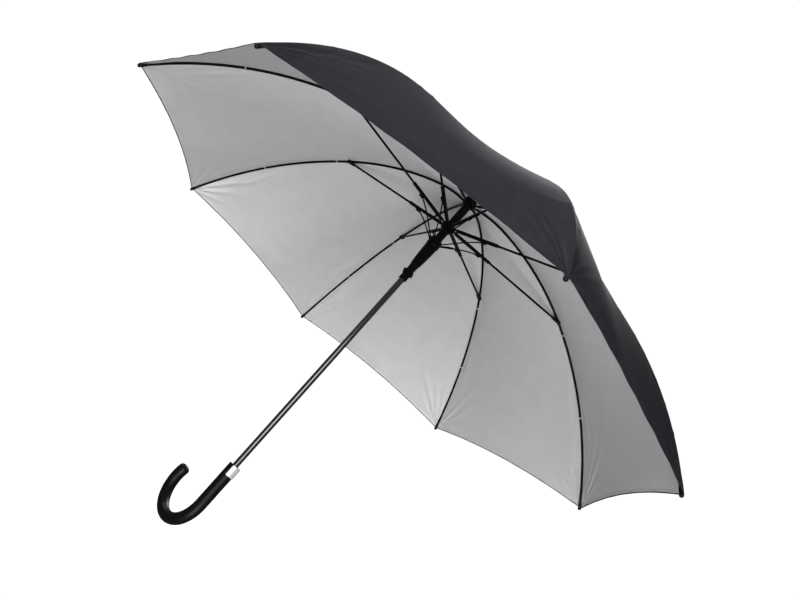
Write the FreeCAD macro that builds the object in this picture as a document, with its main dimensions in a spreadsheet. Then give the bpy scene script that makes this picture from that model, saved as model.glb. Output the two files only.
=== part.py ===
import FreeCAD, Part
import math
import os
import Sketcher

# Automatic stick umbrella, open. Millimetres. Z runs up the shaft and the crook's
# open end lies on the -Y side. The origin is on the shaft's axis in the handle's
# straight grip. The sub-parts of one rib station are drawn in the XZ plane and
# turned about Z to their station.
os.makedirs("parts", exist_ok=True)
doc = FreeCAD.newDocument("stick_umbrella")
V = FreeCAD.Vector

DIMENSIONS = [
    ("stations", 8),
    ("first_station_deg", 22.5),
    ("pitch_deg", 45),
    # shaft and handle
    ("shaft_radius", 5.0),
    ("shaft_wall", 0.7),
    ("shaft_foot_height", -20),
    ("shaft_top_height", 650),
    ("handle_radius", 9.9),
    ("handle_top_height", 45),
    ("crook_start_height", -32),
    ("crook_bend_radius", 53),
    ("crook_sweep_deg", 198),
    ("crook_azimuth_deg", -90),
    ("crook_dome", 6.5),
    ("fixed_bore_radius", 5.02),
    ("button_length", 18.5),
    ("button_half_width", 7.6),
    ("button_face_radius", 11.0),
    ("button_inner_radius", 7.4),
    ("button_base_height", 26),
    # linkage, radius from the axis and height
    ("pivot_ring_radius", 9.5),
    ("crown_height", 622),
    ("upper_hub_height", 567),
    ("lower_hub_height", 531),
    ("joint_radius", 257),
    ("bracket_distance", 59.6),
    ("bracket_drop", 3.0),
    # ribs and canopy
    ("rib_radius", 2.0),
    ("rib_start_slope_deg", 19),
    ("rib_start_bend", 200),
    ("rib_end_radius", 510.5),
    ("rib_end_height", 391),
    ("cloth_gap", 3.4),
    ("cloth_thickness", 0.6),
    ("cloth_hole_radius", 7.5),
    ("cloth_crown_height", 633),
    ("cloth_sag", 8),
    ("hem_scallop", 13),
    ("hem_overhang", 4.5),
    ("cap_end_radius", 515),
    ("cap_end_height", 385),
    # hubs and wires
    ("wire_radius", 0.8),
    ("wire_groove_radius", 0.82),
    ("eye_hole_radius", 1.0),
    ("eye_radius", 2.0),
    ("eye_thickness", 1.8),
    ("hub_slot_width", 2.6),
    ("hub_flange_radius", 12),
    ("runner_bore_radius", 5.08),
    ("sleeve_radius", 7.2),
    ("sleeve_foot_height", 525),
    ("neck_radius", 7.0),
    ("neck_top_height", 610.5),
    ("grip_foot_height", 447),
    ("grip_top_height", 536),
    ("grip_collar_radius", 11.6),
    ("grip_pocket_radius", 7.5),
    ("grip_pocket_height", 488),
    ("opening_spring_radius", 6.3),
    ("opening_spring_wire", 0.65),
    # stretchers and links
    ("stretcher_radius", 1.8),
    ("channel_width", 4.4),
    ("channel_height", 4.2),
    ("channel_end", 84),
    ("channel_groove_width", 2.6),
    ("fork_length", 13.5),
    ("fork_inner_half_width", 2.9),
    ("fork_cheek", 0.9),
    ("sleeve_on_rib_radius", 2.7),
    ("link_radius", 1.1),
    ("link_bow", 2.2),
    # ferrule
    ("ferrule_base_height", 634.3),
    ("ferrule_pin_radius", 4.6),
    ("ferrule_pin_start", 662),
    ("ferrule_pin_end", 692),
]

sheet = doc.addObject("Spreadsheet::Sheet", "Dims")
for row, (alias, value) in enumerate(DIMENSIONS, start=1):
    sheet.set("A%d" % row, alias)
    sheet.set("B%d" % row, str(value))
    sheet.setAlias("B%d" % row, alias)
doc.recompute()

MADE = []
STATION = "(Dims.first_station_deg + %d * Dims.pitch_deg) * 1 deg"


def dim(name):
    return float(sheet.get(name))


def value_of(term):
    """A coordinate is a number, a dimension's name, or a name with an offset."""
    if isinstance(term, (int, float)):
        return float(term)
    if isinstance(term, str):
        return dim(term)
    return dim(term[0]) + term[1]


def rule_of(term):
    """The expression that keeps a coordinate tied to the sheet, or None."""
    if isinstance(term, (int, float)):
        return None
    if isinstance(term, str):
        return "Dims." + term
    return "Dims.%s + %g" % term


def bind(obj, prop, term):
    setattr(obj, prop, value_of(term))
    rule = rule_of(term)
    if rule:
        obj.setExpression(prop, rule)


def in_plane(y=0.0, azimuth=0.0):
    """Sketch x along the radius at this azimuth, sketch y along Z."""
    turn = FreeCAD.Placement(V(0, 0, 0), FreeCAD.Rotation(V(0, 0, 1), azimuth))
    stand = FreeCAD.Placement(V(0, y, 0), FreeCAD.Rotation(V(1, 0, 0), 90))
    return turn.multiply(stand)


def sketch(name, edges, placement=None):
    sk = doc.addObject("Sketcher::SketchObject", name)
    for edge in edges:
        sk.addGeometry(edge, False)
    sk.Placement = placement or in_plane()
    return sk


def turned(name, outline):
    """A body of revolution about Z from (radius, height) corners."""
    corners = [V(value_of(r), value_of(z), 0) for r, z in outline]
    count = len(corners)
    edges = [
        Part.LineSegment(corners[i], corners[(i + 1) % count]) for i in range(count)
    ]
    sk = sketch(name + "_outline", edges)
    for i in range(count):
        after = (i + 1) % count
        sk.addConstraint(Sketcher.Constraint("Coincident", i, 2, after, 1))
    for i, (r, z) in enumerate(outline):
        for kind, term in (("DistanceX", r), ("DistanceY", z)):
            if value_of(term) == 0:
                axis = -2 if kind == "DistanceX" else -1
                sk.addConstraint(Sketcher.Constraint("PointOnObject", i, 1, axis))
                continue
            held = Sketcher.Constraint(kind, -1, 1, i, 1, value_of(term))
            at = sk.addConstraint(held)
            rule = rule_of(term)
            if rule:
                sk.setExpression("Constraints[%d]" % at, rule)
    body = doc.addObject("Part::Revolution", name)
    body.Source = sk
    body.Axis = V(0, 0, 1)
    body.Base = V(0, 0, 0)
    body.Angle = 360
    body.Solid = True
    return body


def along_y(name, radius, length, x, z, y_start=None):
    """A cylinder across the station plane, centred on it unless y_start is given."""
    pin = doc.addObject("Part::Cylinder", name)
    bind(pin, "Radius", radius)
    bind(pin, "Height", length)
    start = -value_of(length) / 2 if y_start is None else y_start
    pin.Placement = FreeCAD.Placement(V(x, start, z), FreeCAD.Rotation(V(1, 0, 0), -90))
    return pin


def bar(name, origin, slope_deg, start, end, width, low, high, y_centre=0.0):
    """A bar in the station plane: from start to end along the slope, low to high."""
    box = doc.addObject("Part::Box", name)
    box.Length = end - start
    bind(box, "Width", width)
    box.Height = high - low
    lean = FreeCAD.Placement(origin, FreeCAD.Rotation(V(0, 1, 0), -slope_deg))
    inner = V(start, y_centre - value_of(width) / 2, low)
    box.Placement = lean.multiply(FreeCAD.Placement(inner, FreeCAD.Rotation()))
    return box


def slots(name, inner_radius, low, high, width, reach=20.0):
    """One radial cutting box for each station."""
    boxes = []
    for k in range(int(dim("stations"))):
        box = doc.addObject("Part::Box", "%s_%d" % (name, k + 1))
        box.Length = reach
        bind(box, "Width", width)
        box.Height = high - low
        angle = dim("first_station_deg") + k * dim("pitch_deg")
        turn = FreeCAD.Placement(V(0, 0, 0), FreeCAD.Rotation(V(0, 0, 1), angle))
        shift = FreeCAD.Placement(
            V(inner_radius, -value_of(width) / 2, low), FreeCAD.Rotation()
        )
        box.Placement = turn.multiply(shift)
        boxes.append(box)
    group = doc.addObject("Part::Compound", name)
    group.Links = boxes
    return group


def joined(name, shapes):
    whole = doc.addObject("Part::MultiFuse", name)
    whole.Shapes = shapes
    whole.Refine = False
    return whole


def cut(name, base, tool):
    rest = doc.addObject("Part::Cut", name)
    rest.Base = base
    rest.Tool = tool
    rest.Refine = False
    return rest


def ring(name, radius, wire, height):
    torus = doc.addObject("Part::Torus", name)
    bind(torus, "Radius1", radius)
    bind(torus, "Radius2", wire)
    torus.Placement.Base = V(0, 0, value_of(height))
    rule = rule_of(height)
    if rule:
        torus.setExpression("Placement.Base.z", rule)
    return torus


def rod(name, edges, radius):
    """A round rod swept along edges that lie in the station plane."""
    line = sketch(name + "_line", edges)
    first = edges[0]
    start = first.value(first.FirstParameter)
    ahead = first.tangent(first.FirstParameter)[0]
    section = doc.addObject("Part::Circle", name + "_section")
    bind(section, "Radius", radius)
    section.Placement = FreeCAD.Placement(
        V(start.x, 0, start.y), FreeCAD.Rotation(V(0, 0, 1), V(ahead.x, 0, ahead.y))
    )
    doc.recompute()
    sweep = doc.addObject("Part::Sweep", name)
    sweep.Sections = [section]
    sweep.Spine = (line, ["Edge%d" % (i + 1) for i in range(len(edges))])
    sweep.Solid = True
    sweep.Frenet = False
    return sweep


def heading(slope):
    return V(math.cos(slope), math.sin(slope), 0)


def bend(start, slope, radius, sweep):
    """The arc that leaves start at slope and bends downwards, and where it ends."""
    centre = start + heading(slope - math.pi / 2) * radius
    middle = centre + heading(slope + math.pi / 2 - sweep / 2) * radius
    end = centre + heading(slope + math.pi / 2 - sweep) * radius
    return Part.Arc(start, middle, end), centre, end


def bend_to(start, slope, end):
    """The downward arc from start, leaving at slope, that reaches end."""
    chord = end - start
    half = slope - math.atan2(chord.y, chord.x)
    radius = chord.Length / (2 * math.sin(half))
    return radius, 2 * half


def finish(obj, node, station=None):
    """Names a sub-part, turns it to its station and keeps it for export."""
    obj.Label = node
    if station is not None:
        angle = dim("first_station_deg") + station * dim("pitch_deg")
        obj.Placement = FreeCAD.Placement(
            V(0, 0, 0), FreeCAD.Rotation(V(0, 0, 1), angle)
        )
        obj.setExpression("Placement.Rotation.Angle", STATION % station)
    MADE.append((obj, node))
    return obj


# the linkage in the station plane, as (radius, height)
hinge = V(dim("pivot_ring_radius"), dim("crown_height"), 0)
hub = V(dim("pivot_ring_radius"), dim("upper_hub_height"), 0)
low_hub = V(dim("pivot_ring_radius"), dim("lower_hub_height"), 0)
joint = V(dim("joint_radius"), (hinge.y + hub.y) / 2, 0)
stretcher_slope = math.atan2(joint.y - hub.y, joint.x - hub.x)
stretcher_length = (joint - hub).Length
along = heading(stretcher_slope)
above = heading(stretcher_slope + math.pi / 2)
bracket = hub + along * dim("bracket_distance") - above * dim("bracket_drop")

# the rib's line: up over the apex, down to the joint, then out to the tip
start_slope = math.radians(dim("rib_start_slope_deg"))
rib_end = V(dim("rib_end_radius"), dim("rib_end_height"), 0)
first_bend, first_centre, apex = bend(
    hinge, start_slope, dim("rib_start_bend"), start_slope
)
radius_two, sweep_two = bend_to(apex, 0.0, joint)
second_bend, second_centre, second_end = bend(apex, 0.0, radius_two, sweep_two)
radius_three, sweep_three = bend_to(second_end, -sweep_two, rib_end)
third_bend, third_centre, third_end = bend(
    second_end, -sweep_two, radius_three, sweep_three
)
joint_slope = -sweep_two
end_slope = -sweep_two - sweep_three


def at_bend(centre, radius, slope):
    """The point of a downward arc where it runs at this slope."""
    return centre + heading(slope + math.pi / 2) * radius


def make_rib(k):
    name = "rib%d" % (k + 1)
    bare = 6.0 / dim("rib_start_bend")
    begin = at_bend(first_centre, dim("rib_start_bend"), start_slope - bare)
    middle = at_bend(first_centre, dim("rib_start_bend"), (start_slope - bare) / 2)
    half_two = at_bend(second_centre, radius_two, -sweep_two / 2)
    half_three = at_bend(third_centre, radius_three, -sweep_two - sweep_three / 2)
    edges = [
        Part.Arc(begin, middle, apex),
        Part.Arc(apex, half_two, second_end),
        Part.Arc(second_end, half_three, third_end),
    ]
    stem = rod(name + "_stem", edges, "rib_radius")
    place = V(hinge.x, 0, hinge.y)
    web = bar(
        name + "_web", place, dim("rib_start_slope_deg"), 0.5, 9.5, 1.8, -1.3, 1.0
    )
    eye = along_y(name + "_eye", "eye_radius", "eye_thickness", hinge.x, hinge.y)
    blank = joined(name + "_blank", [stem, web, eye])
    hole = along_y(name + "_hole", "eye_hole_radius", 6.0, hinge.x, hinge.y)
    finish(cut(name, blank, hole), "rib_%d" % (k + 1), k)


def make_rib_fittings(k):
    """The joint's sleeve with its cross pin, and the cap on the rib's tip."""
    name = "fitting%d" % (k + 1)
    lean = FreeCAD.Rotation(V(0, 0, 1), V(math.cos(joint_slope), 0, math.sin(joint_slope)))
    middle = V(joint.x, 0, joint.y)
    toward = V(math.cos(joint_slope), 0, math.sin(joint_slope))
    shell = doc.addObject("Part::Cylinder", name + "_shell")
    bind(shell, "Radius", "sleeve_on_rib_radius")
    shell.Height = 10
    shell.Placement = FreeCAD.Placement(middle - toward * 5, lean)
    pin = along_y(name + "_pin", 0.95, 8.9, joint.x, joint.y)
    heads = []
    for side, start in (("a", -4.5), ("b", 4.0)):
        heads.append(
            along_y("%s_head_%s" % (name, side), 1.7, 0.5, joint.x, joint.y, start)
        )
    sleeve_blank = joined(name + "_sleeve_blank", [shell, pin] + heads)
    bore = doc.addObject("Part::Cylinder", name + "_bore")
    bind(bore, "Radius", ("rib_radius", 0.12))
    bore.Height = 14
    bore.Placement = FreeCAD.Placement(middle - toward * 7, lean)
    sleeve = cut(name + "_sleeve", sleeve_blank, bore)
    # the cap: a barrel over the rib's end with a ball on it
    out = V(math.cos(end_slope), 0, math.sin(end_slope))
    fall = FreeCAD.Rotation(V(0, 0, 1), out)
    cap_end = V(dim("cap_end_radius"), 0, dim("cap_end_height"))
    barrel = doc.addObject("Part::Cone", name + "_barrel")
    barrel.Radius1 = 2.6
    barrel.Radius2 = 2.8
    barrel.Height = 11
    barrel.Placement = FreeCAD.Placement(cap_end - out * 13.6, fall)
    ball = doc.addObject("Part::Sphere", name + "_ball")
    ball.Radius = 2.9
    ball.Placement.Base = cap_end - out * 2.9
    tip_blank = joined(name + "_tip_blank", [barrel, ball])
    socket = doc.addObject("Part::Cylinder", name + "_socket")
    bind(socket, "Radius", ("rib_radius", 0.12))
    socket.Height = 9.6
    socket.Placement = FreeCAD.Placement(cap_end - out * 15.6, fall)
    tip = cut(name + "_tip", tip_blank, socket)
    pair = doc.addObject("Part::Compound", name)
    pair.Links = [sleeve, tip]
    finish(pair, "rib_fittings_%d" % (k + 1), k)


def make_stretcher(k):
    """A fluted channel by the hub, a round rod, and a fork that straddles the rib."""
    name = "stretcher%d" % (k + 1)
    place = V(hub.x, 0, hub.y)
    slope = math.degrees(stretcher_slope)
    half = dim("channel_height") / 2
    end = dim("channel_end")
    web = bar(name + "_web", place, slope, 0.6, 11.0, 1.8, -1.0, half)
    eye = along_y(name + "_eye", "eye_radius", "eye_thickness", hub.x, hub.y)
    block = bar(name + "_block", place, slope, 6.5, end, "channel_width", -half, half)
    groove = bar(
        name + "_groove", place, slope, 5.0, end - 4, "channel_groove_width", -half - 2, 1.3
    )
    channel = cut(name + "_channel", block, groove)
    reach = dim("bracket_distance")
    wall = (dim("channel_width") - dim("channel_groove_width")) / 2
    ears = []
    for side, sign in (("a", -1), ("b", 1)):
        centre = sign * (dim("channel_groove_width") + wall) / 2
        ears.append(
            bar(
                "%s_ear_%s" % (name, side), place, slope,
                reach - 4.2, reach + 4.2, wall, -half - 3.0, 0, centre,
            )
        )
    rivet = along_y(name + "_rivet", 0.85, 5.6, bracket.x, bracket.y)
    fork_start = stretcher_length - dim("fork_length")
    begin = hub + along * (end - 1)
    finish_at = hub + along * (fork_start + 1.5)
    line = Part.LineSegment(begin, finish_at)
    tail = rod(name + "_rod", [line], "stretcher_radius")
    wide = 2 * (dim("fork_inner_half_width") + dim("fork_cheek"))
    bridge = bar(name + "_bridge", place, slope, fork_start, fork_start + 3, wide, -1.6, 1.6)
    cheeks = []
    for side, sign in (("a", -1), ("b", 1)):
        inner = dim("fork_inner_half_width")
        thick = dim("fork_cheek")
        low = inner if sign > 0 else -inner - thick
        cheeks.append(
            bar(
                "%s_cheek_%s" % (name, side), place, slope,
                fork_start + 1, stretcher_length, thick, -1.6, 1.6, low + thick / 2,
            )
        )
        cheeks.append(
            along_y("%s_round_%s" % (name, side), 2.1, thick, joint.x, joint.y, low)
        )
    parts = [web, eye, channel, rivet, tail, bridge] + ears + cheeks
    blank = joined(name + "_blank", parts)
    holes = doc.addObject("Part::Compound", name + "_holes")
    holes.Links = [
        along_y(name + "_hub_hole", "eye_hole_radius", 6.0, hub.x, hub.y),
        along_y(name + "_pin_hole", 1.05, 12.0, joint.x, joint.y),
    ]
    finish(cut(name, blank, holes), "stretcher_%d" % (k + 1), k)


def make_link(k):
    """A thin bowed link from the grip's hub to the stretcher's bracket."""
    name = "link%d" % (k + 1)
    reach = bracket - low_hub
    run = reach.Length
    ahead = reach * (1 / run)
    side = V(-ahead.y, ahead.x, 0)
    crest = low_hub + ahead * (run * 0.5) + side * dim("link_bow")
    rise = (crest - low_hub).normalize()
    slope = math.atan2(rise.y, rise.x)
    radius, sweep = bend_to(crest, slope, bracket)
    last = sweep - 1.4 / radius
    curved = bend(crest, slope, radius, last)[0]
    straight = Part.LineSegment(low_hub + rise * 1.3, crest)
    stem = rod(name + "_stem", [straight, curved], "link_radius")
    eyes = [
        along_y(name + "_low_eye", 1.8, 1.6, low_hub.x, low_hub.y),
        along_y(name + "_top_eye", 1.8, 1.6, bracket.x, bracket.y),
    ]
    blank = joined(name + "_blank", [stem] + eyes)
    holes = doc.addObject("Part::Compound", name + "_holes")
    holes.Links = [
        along_y(name + "_low_hole", 0.9, 6.0, low_hub.x, low_hub.y),
        along_y(name + "_top_hole", 0.95, 6.0, bracket.x, bracket.y),
    ]
    finish(cut(name, blank, holes), "link_%d" % (k + 1), k)


def cloth_edge(lift):
    """The cloth's line over the rib: three arcs, lifted off the rib's centre line."""
    crown = V(dim("cloth_hole_radius"), dim("cloth_crown_height") + lift, 0)
    raised = dim("cloth_gap") + lift
    top = at_bend(second_centre, radius_two + raised, 0.0)
    middle_two = at_bend(second_centre, radius_two + raised, -sweep_two / 2)
    over_joint = at_bend(second_centre, radius_two + raised, joint_slope)
    hem_slope = end_slope - dim("hem_overhang") / radius_three
    middle_slope = (joint_slope + hem_slope) / 2
    middle_three = at_bend(third_centre, radius_three + raised, middle_slope)
    hem = at_bend(third_centre, radius_three + raised, hem_slope)
    between = (crown + top) * 0.5 + V(0, 0.7, 0)
    return [crown, between, top, middle_two, over_joint, middle_three, hem]


def between_ribs(lift):
    """The same line half way to the next rib, drawn in and sagging under tension."""
    share = math.cos(math.radians(dim("pitch_deg") / 2))
    sag = dim("cloth_sag")
    shorter = (dim("hem_scallop") - dim("hem_overhang")) / radius_three
    raised = dim("cloth_gap") + lift
    points = cloth_edge(lift)
    slopes = [0.0, 0.0, 0.0, -sweep_two / 2, joint_slope, 0.0, end_slope + shorter]
    slopes[5] = (joint_slope + slopes[6]) / 2
    points[5] = at_bend(third_centre, radius_three + raised, slopes[5])
    points[6] = at_bend(third_centre, radius_three + raised, slopes[6])
    drops = [0.0, 0.1, 0.2, 0.7, 1.0, 0.85, 0.0]
    moved = []
    for point, slope, drop in zip(points, slopes, drops):
        down = heading(slope + math.pi / 2) * (-sag * drop)
        moved.append(V(point.x * share + down.x, point.y + down.y, 0))
    moved[0] = points[0]
    return moved


def cloth_wire(name, lines, placement):
    """A closed wire from the cloth's lower and upper line."""
    low, high = lines
    edges = [
        Part.Arc(high[0], high[1], high[2]),
        Part.Arc(high[2], high[3], high[4]),
        Part.Arc(high[4], high[5], high[6]),
        Part.LineSegment(high[6], low[6]),
        Part.Arc(low[6], low[5], low[4]),
        Part.Arc(low[4], low[3], low[2]),
        Part.Arc(low[2], low[1], low[0]),
        Part.LineSegment(low[0], high[0]),
    ]
    return sketch(name, edges, placement)


def make_half_panel(k, letter, sign):
    """Half a gore of cloth: from its rib to the fold half way to the next one."""
    name = "cloth%d%s" % (k + 1, letter)
    thick = dim("cloth_thickness")
    gap = 0.15
    over_rib = cloth_wire(
        name + "_rib_edge", (cloth_edge(0), cloth_edge(thick)), in_plane(sign * gap)
    )
    fold = cloth_wire(
        name + "_fold",
        (between_ribs(0), between_ribs(thick)),
        in_plane(-sign * gap, sign * dim("pitch_deg") / 2),
    )
    doc.recompute()
    panel = doc.addObject("Part::Loft", name)
    panel.Sections = [over_rib, fold]
    panel.Solid = True
    panel.Ruled = True
    finish(panel, "canopy_half_%d%s" % (k + 1, letter), k)


def make_shaft():
    tube = doc.addObject("Part::Cylinder", "tube_outer")
    bind(tube, "Radius", "shaft_radius")
    tube.Placement.Base = V(0, 0, dim("shaft_foot_height"))
    tube.setExpression("Height", "Dims.shaft_top_height - Dims.shaft_foot_height")
    inside = doc.addObject("Part::Cylinder", "tube_inner")
    inside.setExpression("Radius", "Dims.shaft_radius - Dims.shaft_wall")
    inside.Placement.Base = V(0, 0, dim("shaft_foot_height") - 1)
    inside.setExpression("Height", "Dims.shaft_top_height - Dims.shaft_foot_height + 2")
    finish(cut("tube", tube, inside), "shaft_tube")


def make_handle():
    """The crook: straight grip, then one round bend that ends in a low dome."""
    top = V(0, dim("handle_top_height"), 0)
    turn_in = V(0, dim("crook_start_height"), 0)
    radius = dim("crook_bend_radius")
    sweep = math.radians(dim("crook_sweep_deg"))
    centre = turn_in + V(radius, 0, 0)
    lowest = centre - V(0, radius, 0)
    end = centre + heading(math.pi + sweep) * radius
    edges = [Part.LineSegment(top, turn_in), Part.Arc(turn_in, lowest, end)]
    stick = rod("crook", edges, "handle_radius")
    dome = doc.addObject("Part::Ellipsoid", "crook_dome")
    bind(dome, "Radius1", "crook_dome")
    bind(dome, "Radius2", "handle_radius")
    bind(dome, "Radius3", "handle_radius")
    onward = heading(math.pi * 1.5 + sweep)
    dome.Placement = FreeCAD.Placement(
        V(end.x, 0, end.y), FreeCAD.Rotation(V(0, 0, 1), V(onward.x, 0, onward.y))
    )
    blank = joined("handle_blank", [stick, dome])
    blank.Placement.Rotation = FreeCAD.Rotation(V(0, 0, 1), dim("crook_azimuth_deg"))
    blank.setExpression("Placement.Rotation.Angle", "Dims.crook_azimuth_deg * 1 deg")
    bore = doc.addObject("Part::Cylinder", "handle_bore")
    bind(bore, "Radius", "fixed_bore_radius")
    bore.Placement.Base = V(0, 0, dim("shaft_foot_height") - 0.3)
    bore.setExpression("Height", "Dims.handle_top_height - Dims.shaft_foot_height + 2")
    window = doc.addObject("Part::Box", "button_window")
    window.setExpression("Length", "2 * Dims.button_half_width + 0.6")
    window.Width = 12
    window.setExpression("Height", "Dims.button_length + 6")
    window.Placement.Base = V(
        -dim("button_half_width") - 0.3, 2.2, dim("button_base_height") - 0.4
    )
    hollow = doc.addObject("Part::Compound", "handle_hollows")
    hollow.Links = [bore, window]
    finish(cut("handle", blank, hollow), "handle_crook")


def make_button():
    """The release button: a plate curved round the shaft at the handle's top."""
    disc = doc.addObject("Part::Cylinder", "button_disc")
    bind(disc, "Radius", "button_face_radius")
    bind(disc, "Height", "button_length")
    disc.Placement.Base = V(0, 0, dim("button_base_height"))
    middle = doc.addObject("Part::Cylinder", "button_middle")
    bind(middle, "Radius", "button_inner_radius")
    bind(middle, "Height", ("button_length", 2))
    middle.Placement.Base = V(0, 0, dim("button_base_height") - 1)
    shell = cut("button_shell", disc, middle)
    keep = doc.addObject("Part::Box", "button_keep")
    keep.setExpression("Length", "2 * Dims.button_half_width")
    keep.Width = 9
    keep.Height = dim("button_length") + 2
    keep.Placement.Base = V(-dim("button_half_width"), 4.6, dim("button_base_height") - 1)
    plate = doc.addObject("Part::Common", "button")
    plate.Base = shell
    plate.Tool = keep
    finish(plate, "release_button")


def make_crown():
    """The notched crown that the ribs hinge on, its wire, and the inner rosette."""
    bore = "fixed_bore_radius"
    flange = "hub_flange_radius"
    body = turned(
        "crown_body",
        [
            (bore, ("crown_height", -10.5)),
            ("neck_radius", ("crown_height", -10.5)),
            ("neck_radius", ("crown_height", -3.5)),
            (flange, ("crown_height", -3.5)),
            (flange, ("crown_height", 4.0)),
            (8.0, ("crown_height", 4.0)),
            (8.0, ("crown_height", 9.0)),
            (bore, ("crown_height", 9.0)),
        ],
    )
    top = dim("crown_height")
    notches = slots("crown_slots", 7.3, top - 4, top + 4.5, "hub_slot_width")
    groove = ring("crown_groove", "pivot_ring_radius", "wire_groove_radius", "crown_height")
    tools = doc.addObject("Part::Compound", "crown_tools")
    tools.Links = [notches, groove]
    finish(cut("crown", body, tools), "crown_notch")
    wire = ring("crown_ring", "pivot_ring_radius", "wire_radius", "crown_height")
    finish(wire, "crown_wire")
    disc = turned(
        "rosette",
        [
            (bore, ("crown_height", 9.2)),
            (15.0, ("crown_height", 9.2)),
            (15.0, ("crown_height", 10.2)),
            (bore, ("crown_height", 10.2)),
        ],
    )
    finish(disc, "crown_rosette")


def make_ferrule():
    base = "ferrule_base_height"
    body = turned(
        "ferrule_body",
        [
            ("fixed_bore_radius", base),
            (12.0, base),
            (12.0, (base, 2.0)),
            (10.5, (base, 3.4)),
            (7.2, (base, 6.0)),
            (6.2, (base, 9.0)),
            (5.9, (base, 24.0)),
            ("ferrule_pin_radius", "ferrule_pin_start"),
            ("ferrule_pin_radius", "ferrule_pin_end"),
            (3.9, ("ferrule_pin_end", 2.4)),
            (2.4, ("ferrule_pin_end", 3.8)),
            (0, ("ferrule_pin_end", 4.4)),
            (0, ("shaft_top_height", 0.5)),
            ("fixed_bore_radius", ("shaft_top_height", 0.5)),
        ],
    )
    finish(body, "ferrule")


def make_upper_runner():
    """The sliding hub of the stretchers, with a sleeve below and a neck above."""
    bore = "runner_bore_radius"
    flange = "hub_flange_radius"
    hub_at = "upper_hub_height"
    body = turned(
        "upper_body",
        [
            (bore, "sleeve_foot_height"),
            ("sleeve_radius", "sleeve_foot_height"),
            ("sleeve_radius", (hub_at, -7.0)),
            (flange, (hub_at, -6.0)),
            (flange, (hub_at, 3.0)),
            ("neck_radius", (hub_at, 5.0)),
            ("neck_radius", "neck_top_height"),
            (bore, "neck_top_height"),
        ],
    )
    middle = dim(hub_at)
    notches = slots("upper_slots", 7.3, middle - 10.5, middle + 6, "hub_slot_width")
    groove = ring("upper_groove", "pivot_ring_radius", "wire_groove_radius", hub_at)
    tools = doc.addObject("Part::Compound", "upper_tools")
    tools.Links = [notches, groove]
    finish(cut("upper", body, tools), "upper_runner")
    finish(ring("upper_ring", "pivot_ring_radius", "wire_radius", hub_at), "upper_wire")


def make_lower_runner():
    """The grip that the hand closes the umbrella with, its foot flange and collar."""
    bore = "runner_bore_radius"
    foot = "grip_foot_height"
    top = "grip_top_height"
    collar = "grip_collar_radius"
    body = turned(
        "lower_body",
        [
            (bore, foot),
            (6.6, foot),
            (7.0, (foot, 0.8)),
            (7.0, (foot, 11.0)),
            (9.0, (foot, 12.0)),
            (9.0, (foot, 18.5)),
            (6.9, (foot, 20.0)),
            (6.9, (foot, 28.0)),
            (8.6, (foot, 37.0)),
            (9.6, (foot, 50.0)),
            (10.4, (foot, 64.0)),
            (10.7, (foot, 75.0)),
            (collar, (foot, 77.0)),
            (collar, top),
            ("grip_pocket_radius", top),
            ("grip_pocket_radius", "grip_pocket_height"),
            (bore, "grip_pocket_height"),
        ],
    )
    lugs = []
    for side, x in (("a", -10.6), ("b", 7.6)):
        lug = doc.addObject("Part::Box", "lug_" + side)
        lug.Length = 3
        lug.Width = 4.4
        lug.Height = 4.5
        lug.Placement.Base = V(x, -2.2, dim(foot) + 13)
        lugs.append(lug)
    whole = joined("lower_whole", [body] + lugs)
    notches = slots("lower_slots", 6.2, dim(top) - 12.5, dim(top) + 1, 2.4)
    finish(cut("lower", whole, notches), "lower_runner")


def make_spring():
    """The opening spring in the grip's pocket, pushing the two hubs apart."""
    low = dim("grip_pocket_height") + 0.9
    high = dim("sleeve_foot_height") - 0.9
    helix = doc.addObject("Part::Helix", "spring_line")
    bind(helix, "Radius", "opening_spring_radius")
    helix.Pitch = (high - low) / 7
    helix.Height = high - low
    helix.SegmentLength = 0.5
    helix.Placement.Base = V(0, 0, low)
    section = doc.addObject("Part::Circle", "spring_section")
    bind(section, "Radius", "opening_spring_wire")
    section.Placement = FreeCAD.Placement(
        V(dim("opening_spring_radius"), 0, low), FreeCAD.Rotation(V(1, 0, 0), 90)
    )
    doc.recompute()
    coil = doc.addObject("Part::Sweep", "spring")
    coil.Sections = [section]
    halves = len(helix.Shape.Edges)
    coil.Spine = (helix, ["Edge%d" % (i + 1) for i in range(halves)])
    coil.Solid = True
    coil.Frenet = True
    finish(coil, "opening_spring")


make_shaft()
make_handle()
make_button()
make_crown()
make_ferrule()
make_upper_runner()
make_lower_runner()
make_spring()
for number in range(int(dim("stations"))):
    make_rib(number)
    make_rib_fittings(number)
    make_stretcher(number)
    make_link(number)
    make_half_panel(number, "a", -1)
    make_half_panel(number, "b", 1)
doc.recompute()

for obj in doc.Objects:
    bad = [s for s in obj.State if s in ("Invalid", "Error")]
    if bad:
        raise RuntimeError("%s is %s" % (obj.Name, bad))
for obj, node in MADE:
    shape = obj.Shape
    if shape.isNull() or not shape.isValid() or not shape.Solids:
        raise RuntimeError("%s has no valid solid" % node)
    shape.exportStep("parts/%s.step" % node)
    box = shape.BoundBox
    print(
        "%-20s solids %d volume %9.1f z %7.1f to %7.1f r %6.1f"
        % (node, len(shape.Solids), shape.Volume, box.ZMin, box.ZMax, box.XMax)
    )
print("%d sub-parts" % len(MADE))
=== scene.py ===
import math

import bpy
import numpy as np
from mathutils import Matrix, Vector


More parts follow.
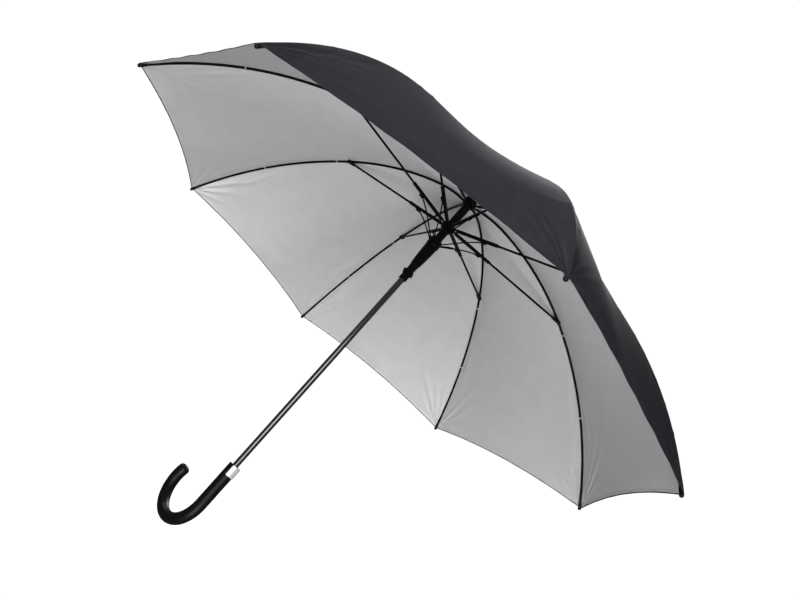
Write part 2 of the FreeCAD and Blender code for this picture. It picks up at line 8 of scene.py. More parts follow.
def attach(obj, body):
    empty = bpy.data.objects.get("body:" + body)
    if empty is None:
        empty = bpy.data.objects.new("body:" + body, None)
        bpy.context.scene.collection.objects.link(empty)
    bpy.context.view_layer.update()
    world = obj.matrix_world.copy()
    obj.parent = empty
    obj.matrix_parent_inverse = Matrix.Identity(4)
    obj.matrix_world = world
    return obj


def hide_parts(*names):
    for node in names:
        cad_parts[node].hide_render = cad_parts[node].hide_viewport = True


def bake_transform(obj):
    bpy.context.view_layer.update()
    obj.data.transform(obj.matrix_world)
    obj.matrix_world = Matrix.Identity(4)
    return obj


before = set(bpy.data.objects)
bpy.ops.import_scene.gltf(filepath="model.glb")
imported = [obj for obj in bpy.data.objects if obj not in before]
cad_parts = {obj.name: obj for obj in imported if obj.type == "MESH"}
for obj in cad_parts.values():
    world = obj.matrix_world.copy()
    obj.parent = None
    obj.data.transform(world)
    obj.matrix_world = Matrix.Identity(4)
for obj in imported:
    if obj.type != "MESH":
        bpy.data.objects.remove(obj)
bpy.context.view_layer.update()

SCENE = bpy.context.scene
MM = 0.001
SHARP_ANGLE = math.radians(50)

# ---------------------------------------------------------------- the linkage's places
STATIONS = 8
FIRST_AZIMUTH = math.radians(22.5)
PITCH = math.radians(45)
HINGE = np.array([9.5, 622.0])
JOINT = np.array([257.0, 594.5])
RIB_END = np.array([510.5, 391.0])
CROWN_HOLE = np.array([7.5, 633.0])
START_SLOPE = math.radians(19)
START_BEND = 200.0
CROWN_SWELL = 1.2        # how far the cloth bows up round the crown hole
LOWER_HUB_HEIGHT = 531.0
HINGE_RING = 9.5

# ---------------------------------------------------------------- the cloth
CLOTH_GAP = 2.6          # inner face above the rib's centre line
JOINT_LIFT = 0.7         # extra room over the joint's sleeve
JOINT_REACH = 16.0
CAP_LIFT = 0.6           # extra room over the tip's cap
CAP_REACH = 30.0
CAP_EASE = 22.0
CLOTH_THICKNESS = 0.45
HEM_OVERHANG = 4.5       # the cloth reaches this far beyond the rib's end, over its cap
HEM_SCALLOP = 13.0       # how far the hem's middle lies inside the tips' line
SAG = 8.0                # how far a gore's middle hangs below its ribs' line
HEM_FOLD = 5.0
HEM_EDGE = 1.7           # the outer cloth shows on the inside over this width
HEM_STEP = 4.0           # between the even rows and the hem's own rows
ROWS = 104
HEM_DISTANCES = (9.0, 7.0, 5.6, 5.0, 3.4, 1.7, 0.8, 0.0)
OUTER_ROWS = 40          # rows closer together over the last stretch before the hem
OUTER_STRETCH = 0.19
SEAM_DISTANCES = (0.0, 1.0, 2.6, 3.2, 5.0)
COLUMNS = 46
CLOTH_SEED = 700
CREASE_ANGLES = (10, 19, 30, 43, 62)     # degrees from the rib, at each tip
STEEP_CREASE = 50        # creases nearer the hem than this angle are shorter
FOLD_GAIN = 1.3          # strength of the creases and puckers
PUCKERS = 14
LOOSE_WAVES = 8
RIPPLE_HEIGHT = 0.4      # the hem's own ripple
RIPPLE_LENGTH = 0.062
RIPPLE_FADE = 16.0
SEAM_ALLOWANCE = 2.6
EDGE_STEP = 0.6
DOUBLED_CLOTH = 0.3      # extra thickness of the seam allowance and the hem's fold
GROOVE_DEPTH = 0.22      # the seam seen from outside
GROOVE_WIDTH = 1.1


def azimuth_of(k):
    return FIRST_AZIMUTH + PITCH * k


def heading(slope):
    return np.array([math.cos(slope), math.sin(slope)])


def bend(start, slope, radius, sweep):
    centre = start + heading(slope - math.pi / 2) * radius
    return centre, centre + heading(slope + math.pi / 2 - sweep) * radius


def bend_to(start, slope, end):
    chord = end - start
    half = slope - math.atan2(chord[1], chord[0])
    return np.hypot(*chord) / (2 * math.sin(half)), 2 * half


APEX = bend(HINGE, START_SLOPE, START_BEND, START_SLOPE)[1]
RADIUS_TWO, SWEEP_TWO = bend_to(APEX, 0.0, JOINT)
CENTRE_TWO, END_TWO = bend(APEX, 0.0, RADIUS_TWO, SWEEP_TWO)
RADIUS_THREE, SWEEP_THREE = bend_to(END_TWO, -SWEEP_TWO, RIB_END)
CENTRE_THREE = bend(END_TWO, -SWEEP_TWO, RADIUS_THREE, SWEEP_THREE)[0]
CROWN_TOP = np.array([APEX[0], APEX[1] + CLOTH_GAP])
CROWN_RUN = float(np.hypot(*(CROWN_TOP - CROWN_HOLE)))
LENGTH_TWO = (RADIUS_TWO + CLOTH_GAP) * SWEEP_TWO
LENGTH_THREE = (RADIUS_THREE + CLOTH_GAP) * SWEEP_THREE + HEM_OVERHANG
CLOTH_LENGTH = CROWN_RUN + LENGTH_TWO + LENGTH_THREE
JOINT_RUN = CROWN_RUN + LENGTH_TWO


def smooth(x):
    x = np.clip(x, 0.0, 1.0)
    return x * x * (3 - 2 * x)


def cloth_line(run):
    """(radius, height) and slope of the cloth over a rib, this far along it."""
    run = np.asarray(run, float)
    share = np.clip(run / CROWN_RUN, 0, 1)
    rise = (CROWN_TOP - CROWN_HOLE)[1]
    r0 = CROWN_HOLE[0] + (CROWN_TOP - CROWN_HOLE)[0] * share
    z0 = CROWN_HOLE[1] + rise * share * (2 - share) + CROWN_SWELL * share * (1 - share)
    s0 = (rise * 2 * (1 - share) + CROWN_SWELL * (1 - 2 * share)) / CROWN_RUN
    s2 = -(run - CROWN_RUN) / (RADIUS_TWO + CLOTH_GAP)
    s3 = -SWEEP_TWO - (run - JOINT_RUN) / (RADIUS_THREE + CLOTH_GAP)
    r2 = CENTRE_TWO[0] - np.sin(s2) * (RADIUS_TWO + CLOTH_GAP)
    z2 = CENTRE_TWO[1] + np.cos(s2) * (RADIUS_TWO + CLOTH_GAP)
    r3 = CENTRE_THREE[0] - np.sin(s3) * (RADIUS_THREE + CLOTH_GAP)
    z3 = CENTRE_THREE[1] + np.cos(s3) * (RADIUS_THREE + CLOTH_GAP)
    first, second = run < CROWN_RUN, run < JOINT_RUN
    r = np.where(first, r0, np.where(second, r2, r3))
    z = np.where(first, z0, np.where(second, z2, z3))
    slope = np.where(first, s0, np.where(second, s2, s3))
    lift = JOINT_LIFT * np.exp(-(((run - JOINT_RUN) / JOINT_REACH) ** 2))
    lift = lift + CAP_LIFT * smooth((run - (CLOTH_LENGTH - CAP_REACH)) / CAP_EASE)
    return r - np.sin(slope) * lift, z + np.cos(slope) * lift, slope


def row_shares():
    """Rows from crown to hem, closer together near the hem."""
    inner = np.linspace(0, 1 - OUTER_STRETCH, ROWS - OUTER_ROWS, endpoint=False)
    return np.concatenate([inner, np.linspace(1 - OUTER_STRETCH, 1, OUTER_ROWS)])


def column_shares(width):
    """Columns from one rib to the next, fixed near each seam and close beside it."""
    rows = len(width)
    s = np.zeros((rows, 2 * COLUMNS - 1))
    for j in range(COLUMNS):
        if j < len(SEAM_DISTANCES):
            share = np.minimum(SEAM_DISTANCES[j] / np.maximum(width, 1e-6), 0.03 * j)
            value = -1 + share
        else:
            fraction = (j - len(SEAM_DISTANCES) + 1) / (COLUMNS - len(SEAM_DISTANCES))
            last = s[:, len(SEAM_DISTANCES) - 1]
            value = last * (1 - fraction ** 1.5)
        s[:, j] = value
        s[:, 2 * COLUMNS - 2 - j] = -value
    s[:, COLUMNS - 1] = 0.0
    return s


def run_of(s):
    """How far along the cloth each point of a gore lies, and how far from the hem."""
    hem_run = CLOTH_LENGTH - HEM_SCALLOP * (1 - s[:1] ** 2)
    inside = hem_run - HEM_DISTANCES[0] - HEM_STEP
    run = np.vstack([row_shares()[:, None] * inside,
                     hem_run - np.array(HEM_DISTANCES)[:, None]])
    return run, hem_run - run


def creases(rng, reach, to_hem):
    """Short folds that fan out from a tip between the rib and the hem."""
    distance = np.hypot(reach, to_hem + 1.0)
    angle = np.degrees(np.arctan2(reach, to_hem + 1.0))
    total = np.zeros_like(reach)
    for centre in CREASE_ANGLES:
        middle = centre + rng.uniform(-3, 3) + distance * rng.uniform(-0.05, 0.05)
        beside = distance * np.radians(angle - middle)
        breadth = 2.2 + distance * rng.uniform(0.030, 0.050)
        length = rng.uniform(50, 95) if centre < STEEP_CREASE else rng.uniform(30, 55)
        depth = rng.uniform(0.7, 1.3)
        fade = smooth(distance / 22.0) * np.exp(-((distance / length) ** 2))
        fold = np.exp(-((beside / breadth) ** 2))
        fold -= 0.5 * np.exp(-(((beside - 1.7 * breadth) / breadth) ** 2))
        total -= depth * fold * fade
    return total


def pulls(rng, reach, run):
    """Short slanting puckers where the seam is drawn tight over a rib."""
    total = np.zeros_like(reach)
    for _ in range(PUCKERS):
        place = rng.uniform(150, CLOTH_LENGTH - 50)
        slant = rng.uniform(0.5, 1.3)
        length = rng.uniform(10, 30)
        offset = (run - place) - slant * reach
        fold = np.exp(-((offset / rng.uniform(2.5, 4.5)) ** 2))
        total += rng.uniform(0.2, 0.7) * fold * np.exp(-((reach / length) ** 2))
    for _ in range(2):
        place = rng.uniform(CLOTH_LENGTH - 210, CLOTH_LENGTH - 60)
        beside = rng.uniform(8, 26)
        along = np.exp(-(((run - place) / rng.uniform(28, 60)) ** 2))
        across = reach - beside - 0.12 * (run - place)
        total -= rng.uniform(0.3, 0.7) * along * np.exp(-((across / rng.uniform(3, 6)) ** 2))
    return total * smooth(reach / 5.0) * smooth(run / 120.0)


def gore_grid():
    """A gore's rows and columns: place across, run from the crown, and way to the hem."""
    rows = ROWS + len(HEM_DISTANCES)
    even = np.tile(np.linspace(-1, 1, 2 * COLUMNS - 1), (rows, 1))
    run, to_hem = run_of(even)
    s = column_shares(cloth_line(run[:, COLUMNS - 1])[0] * math.sin(PITCH / 2))
    hem_run = CLOTH_LENGTH - HEM_SCALLOP * (1 - s**2)
    share = (run / (run + to_hem))[:ROWS, :1]
    run = np.vstack([share * hem_run[:ROWS], hem_run[ROWS:] - np.array(HEM_DISTANCES)[:, None]])
    return s, run, hem_run - run


def waves(rng, s, run, to_hem, across, across_right):
    """Loose waves, creases at each tip, puckers beside the seams, and the hem's ripple."""
    bow = 1 - s**2
    wave = np.zeros_like(s)
    for _ in range(LOOSE_WAVES):
        fx, fy = rng.uniform(8, 30), rng.uniform(3, 16)
        phase, turned = rng.uniform(0, 6.28), rng.choice([-1, 1])
        wave += rng.uniform(0.3, 1.1) * np.sin(
            (fx * (across - across_right) / 2 + turned * fy * run) * MM + phase)
    wave *= bow * smooth(run / 90.0) * smooth(to_hem / 60.0 + 0.25)
    for reach in (across, across_right):
        wave += FOLD_GAIN * creases(rng, reach, to_hem) * smooth(reach / 5.0)
        wave += FOLD_GAIN * pulls(rng, reach, run)
    ripple = np.sin(across * MM * 2 * math.pi / RIPPLE_LENGTH + rng.uniform(0, 6.28))
    wave += RIPPLE_HEIGHT * ripple * bow * np.exp(-to_hem / RIPPLE_FADE)
    return wave


def gore(k):
    """The cloth between rib k and rib k + 1: inner and outer points, UV, and way to the hem."""
    rng = np.random.default_rng(CLOTH_SEED + k)
    s, run, to_hem = gore_grid()
    r_line, z_line, slope = cloth_line(run)
    a0, a1 = azimuth_of(k), azimuth_of(k + 1)
    mix = ((1 + s) / 2)[..., None]
    left = np.stack([r_line * math.cos(a0), r_line * math.sin(a0), z_line], -1)
    right = np.stack([r_line * math.cos(a1), r_line * math.sin(a1), z_line], -1)
    points = left * (1 - mix) + right * mix
    turn = (a0 + a1) / 2 + s * PITCH / 2
    normal = np.stack([-np.sin(slope) * np.cos(turn), -np.sin(slope) * np.sin(turn),
                       np.cos(slope)], -1)
    sag = SAG * np.sin(math.pi * np.clip(run / CLOTH_LENGTH, 0, 1)) ** 0.9
    points = points - normal * (sag * (1 - s**2))[..., None]
    across = (1 + s) * r_line * math.sin(PITCH / 2)
    across_right = (1 - s) * r_line * math.sin(PITCH / 2)
    points = points + normal * waves(rng, s, run, to_hem, across, across_right)[..., None]
    # the inner skin is thicker over the seam allowance and the hem's fold
    seam = np.minimum(across, across_right)
    seam_on = (1 - smooth((seam - SEAM_ALLOWANCE) / EDGE_STEP)) * smooth(run / 40.0)
    fold_on = 1 - smooth((to_hem - HEM_FOLD) / EDGE_STEP)
    inner = points - normal * (DOUBLED_CLOTH * np.maximum(seam_on, fold_on))[..., None]
    groove = GROOVE_DEPTH * np.exp(-((seam / GROOVE_WIDTH) ** 2)) * smooth(run / 40.0)
    outer = points + normal * (CLOTH_THICKNESS - groove)[..., None]
    uv = np.stack([np.where(s < 0, across, across_right), run], -1) * MM
    return inner * MM, outer * MM, uv, to_hem


def add_mesh(name, verts, faces, materials):
    mesh = bpy.data.meshes.new(name)
    mesh.from_pydata([tuple(v) for v in verts], [], faces)
    for material in materials:
        mesh.materials.append(material)
    obj = bpy.data.objects.new(name, mesh)
    SCENE.collection.objects.link(obj)
    return obj


def half_panel(name, grids, columns, materials):
    """A closed two-skin mesh of the columns of a gore that belong to one rib."""
    inner, outer, uv, to_hem = (g[:, columns] for g in grids)
    rows, cols = to_hem.shape
    verts = np.concatenate([inner.reshape(-1, 3), outer.reshape(-1, 3)])
    size = rows * cols

    def at(i, j, skin):
        return skin * size + i * cols + j

    faces, slots = [], []
    for i in range(rows - 1):
        for j in range(cols - 1):
            quad = (at(i, j, 0), at(i, j + 1, 0), at(i + 1, j + 1, 0), at(i + 1, j, 0))
            faces.append(quad)
            slots.append(0 if to_hem[i, j] <= HEM_EDGE + 0.01 else 1)
            faces.append(tuple(quad[n] + size for n in (0, 3, 2, 1)))
            slots.append(0)
    for i in range(rows - 1):
        for j, back in ((0, False), (cols - 1, True)):
            wall = (at(i, j, 0), at(i + 1, j, 0), at(i + 1, j, 1), at(i, j, 1))
            faces.append(tuple(reversed(wall)) if back else wall)
            slots.append(0)
    for j in range(cols - 1):
        for i, back in ((0, True), (rows - 1, False)):
            wall = (at(i, j, 0), at(i, j + 1, 0), at(i, j + 1, 1), at(i, j, 1))
            faces.append(tuple(reversed(wall)) if back else wall)
            slots.append(0)
    obj = add_mesh(name, verts, faces, materials)
    mesh = obj.data
    mesh.polygons.foreach_set("material_index", slots)
    mesh.polygons.foreach_set("use_smooth", [True] * len(faces))
    layer = mesh.uv_layers.new(name="cloth")
    flat = uv.reshape(-1, 2)
    loop_vertex = np.zeros(len(mesh.loops), int)
    mesh.loops.foreach_get("vertex_index", loop_vertex)
    layer.data.foreach_set("uv", flat[loop_vertex % size].ravel())
    mesh.set_sharp_from_angle(angle=SHARP_ANGLE)
    mesh.update()
    return obj


# ---------------------------------------------------------------- materials
class Nodes:
    """A short way to wire a procedural material."""

    def __init__(self, name):
        self.material = bpy.data.materials.new(name)
        self.material.use_nodes = True
        self.tree = self.material.node_tree
        self.tree.nodes.clear()
        self.shader = self.tree.nodes.new("ShaderNodeBsdfPrincipled")
        out = self.tree.nodes.new("ShaderNodeOutputMaterial")
        self.tree.links.new(self.shader.outputs["BSDF"], out.inputs["Surface"])

    def node(self, kind, **values):
        made = self.tree.nodes.new(kind)
        for key, value in values.items():
            if hasattr(made, key):
                setattr(made, key, value)
            else:
                made.inputs[key.replace("_", " ")].default_value = value
        return made

    def link(self, output, target):
        self.tree.links.new(output, target)

    def math(self, operation, a, b=None):
        made = self.tree.nodes.new("ShaderNodeMath")
        made.operation = operation
        for socket, value in zip(made.inputs, (a, b)):
            if value is None:
                continue
            if isinstance(value, (int, float)):
                socket.default_value = value
            else:
                self.link(value, socket)
        return made.outputs[0]

    def noise(self, vector, scale, detail=4.0, stretch=None):
        if stretch:
            mapping = self.node("ShaderNodeMapping")
            mapping.inputs["Scale"].default_value = stretch
            self.link(vector, mapping.inputs["Vector"])
            vector = mapping.outputs[0]
        made = self.node("ShaderNodeTexNoise", Scale=scale, Detail=detail)
        self.link(vector, made.inputs["Vector"])
        return made.outputs["Fac"]

    def ramp(self, factor, low, high, start=0.3, end=0.7):
        made = self.node("ShaderNodeValToRGB")
        made.color_ramp.elements[0].position = start
        made.color_ramp.elements[1].position = end
        made.color_ramp.elements[0].color = (*low, 1)
        made.color_ramp.elements[1].color = (*high, 1)
        self.link(factor, made.inputs["Fac"])
        return made.outputs["Color"]

    def spread(self, factor, low, high):
        made = self.node("ShaderNodeMapRange")
        made.inputs["To Min"].default_value = low
        made.inputs["To Max"].default_value = high
        self.link(factor, made.inputs["Value"])
        return made.outputs["Result"]

    def bump(self, height, distance, strength=1.0, after=None):
        made = self.node("ShaderNodeBump", Strength=strength, Distance=distance)
        self.link(height, made.inputs["Height"])
        if after is not None:
            self.link(after, made.inputs["Normal"])
        return made.outputs["Normal"]

    def finish(self, **values):
        for key, value in values.items():
            socket = self.shader.inputs[key.replace("_", " ")]
            if isinstance(value, bpy.types.NodeSocket):
                self.link(value, socket)
            else:
                socket.default_value = value
        return self.material


def shades(colour, spread):
    return tuple(c * (1 - spread) for c in colour), tuple(c * (1 + spread) for c in colour)


THREAD_PITCH = 0.0006
EULER = 2.718


def cloth_material(name, colour, spread, rough, fan, specular, metallic=0.0):
    """Plain woven cloth: threads both ways, puckers beside the seams, creases at the tips."""
    n = Nodes(name)
    uv = n.node("ShaderNodeUVMap", uv_map="cloth").outputs["UV"]
    split = n.node("ShaderNodeSeparateXYZ")
    n.link(uv, split.inputs[0])
    x, y = split.outputs["X"], split.outputs["Y"]
    thread = 2 * math.pi / THREAD_PITCH
    warp = n.math("SINE", n.math("MULTIPLY", x, thread))
    weft = n.math("SINE", n.math("MULTIPLY", y, thread))
    weave = n.math("MULTIPLY", warp, weft)
    slub = n.noise(uv, 900.0, 3.0, stretch=(1.0, 0.12, 1.0))
    mottle = n.noise(uv, 34.0, 6.0)
    base = n.ramp(n.math("ADD", n.math("MULTIPLY", mottle, 0.6), n.math("MULTIPLY", slub, 0.4)),
                  *shades(colour, spread))
    pucker = n.noise(uv, 150.0, 2.0, stretch=(0.25, 1.0, 1.0))
    fade = n.math("POWER", EULER, n.math("MULTIPLY", n.math("ABSOLUTE", x), -220.0))
    pucker = n.math("MULTIPLY", pucker, fade)
    ahead = n.math("SUBTRACT", CLOTH_LENGTH * MM, y)
    reach = n.math("ABSOLUTE", x)
    angle = n.math("ARCTAN2", reach, ahead)
    distance = n.math("SQRT", n.math("ADD", n.math("MULTIPLY", reach, reach),
                                     n.math("MULTIPLY", ahead, ahead)))
    polar = n.node("ShaderNodeCombineXYZ")
    n.link(n.math("ADD", angle, n.math("MULTIPLY", n.noise(uv, 14.0, 2.0), 0.35)), polar.inputs[0])
    n.link(distance, polar.inputs[1])
    crease = n.noise(polar.outputs[0], 4.2, 1.5)
    near = n.math("POWER", EULER, n.math("MULTIPLY", distance, -13.0))
    grown = n.math("MULTIPLY", n.math("MINIMUM", n.math("MULTIPLY", distance, 30.0), 1.0), near)
    normal = n.bump(n.math("MULTIPLY", crease, grown), fan, 1.0)
    normal = n.bump(weave, 0.00006, 0.5, normal)
    normal = n.bump(pucker, 0.0006, 0.8, normal)
    normal = n.bump(n.noise(uv, 22.0, 5.0), 0.0014, 0.5, normal)
    return n.finish(Base_Color=base, Roughness=n.spread(mottle, rough - 0.06, rough + 0.06),
                    Normal=normal, Metallic=metallic, Specular_IOR_Level=specular)


def coated_material(name, colour, rough, grain, depth, metallic=0.0, stretch=None,
                    specular=0.5):
    """Paint, plastic, rubber or plate over object-space grain, worn a little brighter."""
    n = Nodes(name)
    place = n.node("ShaderNodeTexCoord").outputs["Object"]
    fine = n.noise(place, grain, 5.0, stretch)
    broad = n.noise(place, 45.0, 3.0)
    base = n.ramp(broad, *shades(colour, 0.16))
    roughness = n.spread(n.math("ADD", n.math("MULTIPLY", fine, 0.4), n.math("MULTIPLY", broad, 0.6)),
                         rough * 0.85, rough * 1.15)
    return n.finish(Base_Color=base, Roughness=roughness, Normal=n.bump(fine, depth, 0.6),
                    Metallic=metallic, Specular_IOR_Level=specular)


def thread_material(name, colour):
    n = Nodes(name)
    place = n.node("ShaderNodeTexCoord").outputs["Object"]
    twist = n.noise(place, 5200.0, 2.0, (1.0, 0.4, 0.4))
    return n.finish(Base_Color=n.ramp(twist, *shades(colour, 0.25)), Roughness=0.8,
                    Normal=n.bump(twist, 0.0001, 0.8), Sheen_Weight=0.2)


OUTER = cloth_material("cloth_outer", (0.024, 0.0235, 0.029), spread=0.16, rough=0.70,
                       fan=0.012, specular=0.02)
INNER = cloth_material("cloth_inner", (0.60, 0.60, 0.612), spread=0.05, rough=0.52,
                       fan=0.0008, specular=0.4, metallic=0.15)
GLOSS = coated_material("shaft_enamel", (0.003, 0.003, 0.0032), 0.24, 300.0, 0.000001,
                        specular=1.0)
RUBBER = coated_material("handle_rubber", (0.003, 0.003, 0.0032), 0.42, 2600.0, 0.00002,
                         specular=0.14)
HUB = coated_material("hub_plastic", (0.0025, 0.0025, 0.0027), 0.40, 2200.0, 0.00002,
                      specular=0.05)
STEEL = coated_material("coated_steel", (0.0025, 0.0025, 0.0028), 0.40, 2600.0, 0.00002,
                        specular=0.05)
CAP = coated_material("cap_plastic", (0.003, 0.003, 0.0032), 0.30, 1800.0, 0.00001,
                      specular=0.15)
WIRE = coated_material("bright_wire", (0.50, 0.50, 0.51), 0.34, 3000.0, 0.00002, 1.0)
BUTTON = coated_material("button_plate", (0.78, 0.78, 0.79), 0.42, 300.0, 0.000004, 0.55,
                         (6.0, 6.0, 1.0))
PALE_THREAD = thread_material("pale_thread", (0.72, 0.70, 0.66))
DARK_THREAD = thread_material("dark_thread", (0.03, 0.03, 0.034))


def paint(node, material):
    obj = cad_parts[node]
    for slot in obj.material_slots:
        slot.material = material
    if not obj.material_slots:
        obj.data.materials.append(material)


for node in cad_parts:
    if node.startswith("rib_fittings"):
        paint(node, CAP)
    elif node.startswith(("rib_", "stretcher_", "link_")):
        paint(node, STEEL)
for node, material in (("shaft_tube", GLOSS), ("handle_crook", RUBBER), ("crown_notch", HUB),
                       ("upper_runner", HUB), ("lower_runner", HUB), ("ferrule", CAP),
                       ("crown_wire", WIRE), ("upper_wire", WIRE), ("opening_spring", WIRE),
                       ("release_button", BUTTON)):
    paint(node, material)

# ---------------------------------------------------------------- the canopy
for k in range(STATIONS):
    grids = gore(k)
    following = (k + 1) % STATIONS
    for station, letter, columns, sign in (
            (k, "b", slice(0, COLUMNS), 1), (following, "a", slice(COLUMNS - 1, None), -1)):
        label = "%d%s" % (station + 1, letter)
        piece = half_panel("canopy_" + label, grids, columns, (OUTER, INNER))
        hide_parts("canopy_half_" + label)
        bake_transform(piece)


# ---------------------------------------------------------------- small parts
def tube(name, path, radius, material, body, sides=8, closed=False):
    """A round thread or wire along a path, as a mesh."""
    path = [Vector(p) for p in path]
    verts, faces = [], []
    side = None
    total = len(path)
    for i, p in enumerate(path):
        ahead = path[(i + 1) % total] if closed else path[min(i + 1, total - 1)]
        behind = path[i - 1] if closed else path[max(i - 1, 0)]
        along = (ahead - behind).normalized()
        if side is None:
            side = along.orthogonal().normalized()
        side = (side - along * side.dot(along)).normalized()
        up = along.cross(side)
        for j in range(sides):
            a = 2 * math.pi * j / sides
            verts.append(p + (side * math.cos(a) + up * math.sin(a)) * radius)
    last = total if closed else total - 1
    for i in range(last):
        for j in range(sides):
            a, b = i * sides + j, i * sides + (j + 1) % sides
            c, d = ((i + 1) % total) * sides + (j + 1) % sides, ((i + 1) % total) * sides + j
            faces.append((a, b, c, d))
    if not closed:
        faces.append(tuple(range(sides))[::-1])
        faces.append(tuple((total - 1) * sides + j for j in range(sides)))
    obj = add_mesh(name, verts, faces, [material])
    polygons = obj.data.polygons
    polygons.foreach_set("use_smooth", [len(f.vertices) == 4 for f in polygons])
    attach(obj, body)
    return obj


def station_point(k, r, z, t=0.0):
    a = azimuth_of(k)
    return Vector((r * math.cos(a) - t * math.sin(a), r * math.sin(a) + t * math.cos(a), z)) * MM


def rib_frame(run_past_joint):
    """The rib's centre line this far past the joint: radius, height and slope."""
    slope = -SWEEP_TWO - run_past_joint / RADIUS_THREE
    return (CENTRE_THREE[0] - math.sin(slope) * RADIUS_THREE,
            CENTRE_THREE[1] + math.cos(slope) * RADIUS_THREE, slope)


def lashing(k, run, turns, radius, pitch, reach_up):
    """A thread wound round the rib with both ends led up into the seam."""
    r, z, slope = rib_frame(run)
    ahead, above = heading(slope), heading(slope + math.pi / 2)
    path = []
    steps = 18
    for i in range(turns * steps + 1):
        a = 2 * math.pi * i / steps + math.pi / 2
        along = (i / steps - turns / 2) * pitch
        out = radius * math.sin(a)
        r1 = r + ahead[0] * along + above[0] * out
        z1 = z + ahead[1] * along + above[1] * out
        path.append(station_point(k, r1, z1, radius * math.cos(a)))
    for end, spot in ((0, -1), (-1, 1)):
        along = spot * (turns / 2 * pitch + 0.4)
        r1 = r + ahead[0] * along + above[0] * (radius + reach_up)
        z1 = z + ahead[1] * along + above[1] * (radius + reach_up)
        p = station_point(k, r1, z1, spot * 0.3)
        path = [p] + path if end == 0 else path + [p]
    return path


FIRST_TIE, SECOND_TIE = 25.0, 174.0
WINDING_RADIUS = 1.95
TIE_THREAD, STITCH_THREAD = 0.00028, 0.00024
CAP_TIE = RADIUS_THREE * SWEEP_THREE - 9.0
for k in range(STATIONS):
    body = "rib_%d" % (k + 1)
    for label, run in (("inner", FIRST_TIE), ("outer", SECOND_TIE)):
        tube("thread_tie_%s_%d" % (label, k + 1), lashing(k, run, 3, WINDING_RADIUS, 0.55, 0.35),
             TIE_THREAD, PALE_THREAD, body)
    tube("cap_stitch_%d" % (k + 1), lashing(k, CAP_TIE, 4, WINDING_RADIUS, 0.5, 0.3),
         STITCH_THREAD, DARK_THREAD, body)


RING_SEGMENTS = 96
PATCH_UV_SHIFT = 0.05    # keeps the small rounds clear of the seams' puckers


def lathe(name, outline, material, body):
    """A ring turned about the shaft from a (radius, height) outline."""
    verts, faces = [], []
    count = len(outline)
    for i in range(RING_SEGMENTS):
        a = 2 * math.pi * i / RING_SEGMENTS
        for r, z in outline:
            verts.append((r * math.cos(a) * MM, r * math.sin(a) * MM, z * MM))
    for i in range(RING_SEGMENTS):
        after = ((i + 1) % RING_SEGMENTS) * count
        for j in range(count):
            a, b = i * count + j, i * count + (j + 1) % count
            c, d = after + (j + 1) % count, after + j
            faces.append((a, d, c, b))
    obj = add_mesh(name, verts, faces, [material])
    mesh = obj.data
    mesh.polygons.foreach_set("use_smooth", [True] * len(faces))
    layer = mesh.uv_layers.new(name="cloth")
    for loop in mesh.loops:
        co = mesh.vertices[loop.vertex_index].co
        layer.data[loop.index].uv = (co.x + PATCH_UV_SHIFT, co.y)
    mesh.set_sharp_from_angle(angle=SHARP_ANGLE)
    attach(obj, body)
    return obj


GRIP_WIRE = 0.0006
TOP_PATCH = [(5.3, 634.0), (7.0, 633.95), (13.0, 635.1), (19.0, 635.75), (23.0, 636.15),
             (23.2, 636.45), (19.0, 636.25), (13.0, 635.6), (7.0, 634.2), (5.3, 634.25)]
ROSETTE = [(5.3, 631.25), (14.6, 631.15), (17.2, 630.9), (17.3, 631.3), (14.8, 632.3),
           (5.3, 632.3)]
rosette = lathe("inner_rosette", ROSETTE, INNER, "shaft")
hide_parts("crown_rosette")
lathe("top_patch", TOP_PATCH, OUTER, "shaft")
ring_path = [Vector((HINGE_RING * math.cos(a) * MM, HINGE_RING * math.sin(a) * MM,
                     LOWER_HUB_HEIGHT * MM)) for a in np.linspace(0, 2 * math.pi, RING_SEGMENTS, False)]
tube("grip_ring", ring_path, GRIP_WIRE, WIRE, "lower_runner", closed=True)

# ---------------------------------------------------------------- floor, light, camera
FLOOR_HEIGHT = -0.112
FLOOR_RADIUS = 60


def glowing(name, colour, glow):
    """White paper lit so evenly that no shadow shows on it."""
    n = Nodes(name)
    place = n.node("ShaderNodeTexCoord").outputs["Object"]
    base = n.ramp(n.noise(place, 1.5, 2.0), *shades(colour, 0.01))
    return n.finish(Base_Color=base, Roughness=0.9, Emission_Color=(1, 1, 1, 1),
                    Emission_Strength=glow, Specular_IOR_Level=0.0)


bpy.ops.mesh.primitive_circle_add(vertices=96, radius=FLOOR_RADIUS, fill_type="NGON",
                                  location=(0, 0, FLOOR_HEIGHT))
floor = bpy.context.object
floor.name = "floor"
floor.data.materials.append(glowing("floor_paper", (0.10, 0.10, 0.10), 1.0))
floor.visible_diffuse = False
floor.visible_glossy = False
floor.visible_shadow = False

WORLD_GLOW = 0.11        # what lights the object
PAPER_GLOW = 1.02        # what the camera sees behind it
world = bpy.data.worlds.new("studio")
world.use_nodes = True
tree = world.node_tree
seen = tree.nodes["Background"]
seen.inputs["Color"].default_value = (1, 1, 1, 1)
seen.inputs["Strength"].default_value = PAPER_GLOW
lit = tree.nodes.new("ShaderNodeBackground")
lit.inputs["Color"].default_value = (0.985, 0.99, 1.0, 1)
lit.inputs["Strength"].default_value = WORLD_GLOW
rays = tree.nodes.new("ShaderNodeLightPath")
blend = tree.nodes.new("ShaderNodeMixShader")
tree.links.new(rays.outputs["Is Camera Ray"], blend.inputs[0])
tree.links.new(lit.outputs[0], blend.inputs[1])
tree.links.new(seen.outputs[0], blend.inputs[2])
tree.links.new(blend.outputs[0], tree.nodes["World Output"].inputs["Surface"])
SCENE.world = world

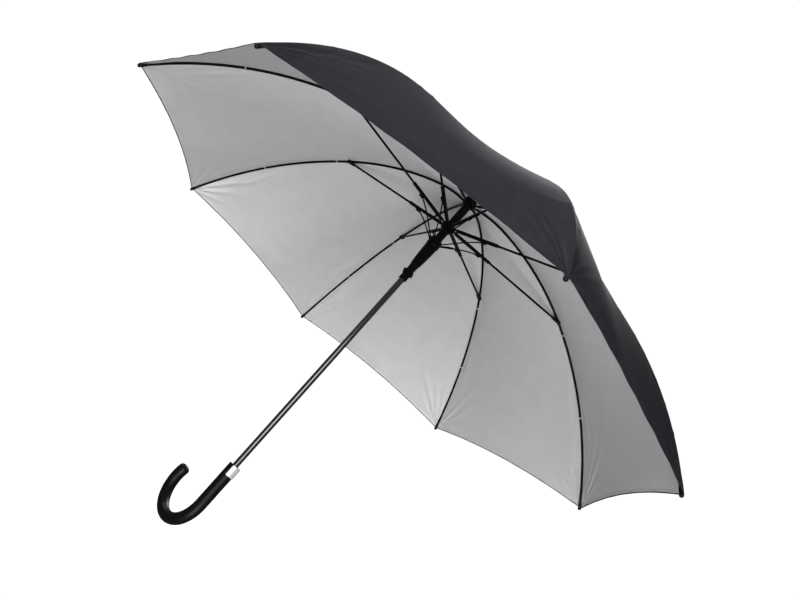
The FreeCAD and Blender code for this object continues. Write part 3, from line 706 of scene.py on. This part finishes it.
CAMERA_AT = Vector((0.66214, 0.93457, 0.06808))
FORWARD = Vector((-0.553293, -0.820307, 0.144788)).normalized()
UPWARD = Vector((0.615136, -0.285168, 0.735042)).normalized()
FOCAL_PIXELS = 728.92
SHIFT = (0.1200, 0.0800)
SENSOR = 36.0
PICTURE_WIDTH = 800
RIGHT = FORWARD.cross(UPWARD)
camera_data = bpy.data.cameras.new("camera")
camera_data.sensor_width = SENSOR
camera_data.lens = SENSOR * FOCAL_PIXELS / PICTURE_WIDTH
camera_data.shift_x, camera_data.shift_y = SHIFT
camera_data.clip_start = 0.02
camera = bpy.data.objects.new("camera", camera_data)
SCENE.collection.objects.link(camera)
camera.matrix_world = Matrix((
    (RIGHT.x, UPWARD.x, -FORWARD.x, CAMERA_AT.x), (RIGHT.y, UPWARD.y, -FORWARD.y, CAMERA_AT.y),
    (RIGHT.z, UPWARD.z, -FORWARD.z, CAMERA_AT.z), (0, 0, 0, 1)))
SCENE.camera = camera
TARGET = Vector((0.0, 0.0, 0.42))


def soft_box(name, place, aim, width, height, watts, spread=180):
    data = bpy.data.lights.new(name, "AREA")
    data.shape = "RECTANGLE"
    data.size, data.size_y = width, height
    data.energy = watts
    data.spread = math.radians(spread)
    obj = bpy.data.objects.new(name, data)
    SCENE.collection.objects.link(obj)
    obj.location = place
    obj.rotation_euler = (aim - place).to_track_quat("-Z", "Y").to_euler()


soft_box("key", TARGET + Vector((0.66, 1.58, -1.36)), TARGET, 1.1, 1.1, 43)
soft_box("gridded", Vector((1.10, -0.35, 1.26)), Vector((0.10, 0.50, 0.42)), 0.2, 0.2, 0.6, 26)
soft_box("back", Vector((-1.4, -1.4, 2.1)), TARGET, 1.0, 1.0, 90)
soft_box("side", Vector((0.6, -1.7, 2.0)), TARGET, 1.0, 1.0, 28)
soft_box("strip", Vector((1.25, 1.85, 0.36)), Vector((0, 0, 0.30)), 2.0, 0.8, 38)
SCENE.view_settings.view_transform = "Standard"
SCENE.view_settings.look = "None"
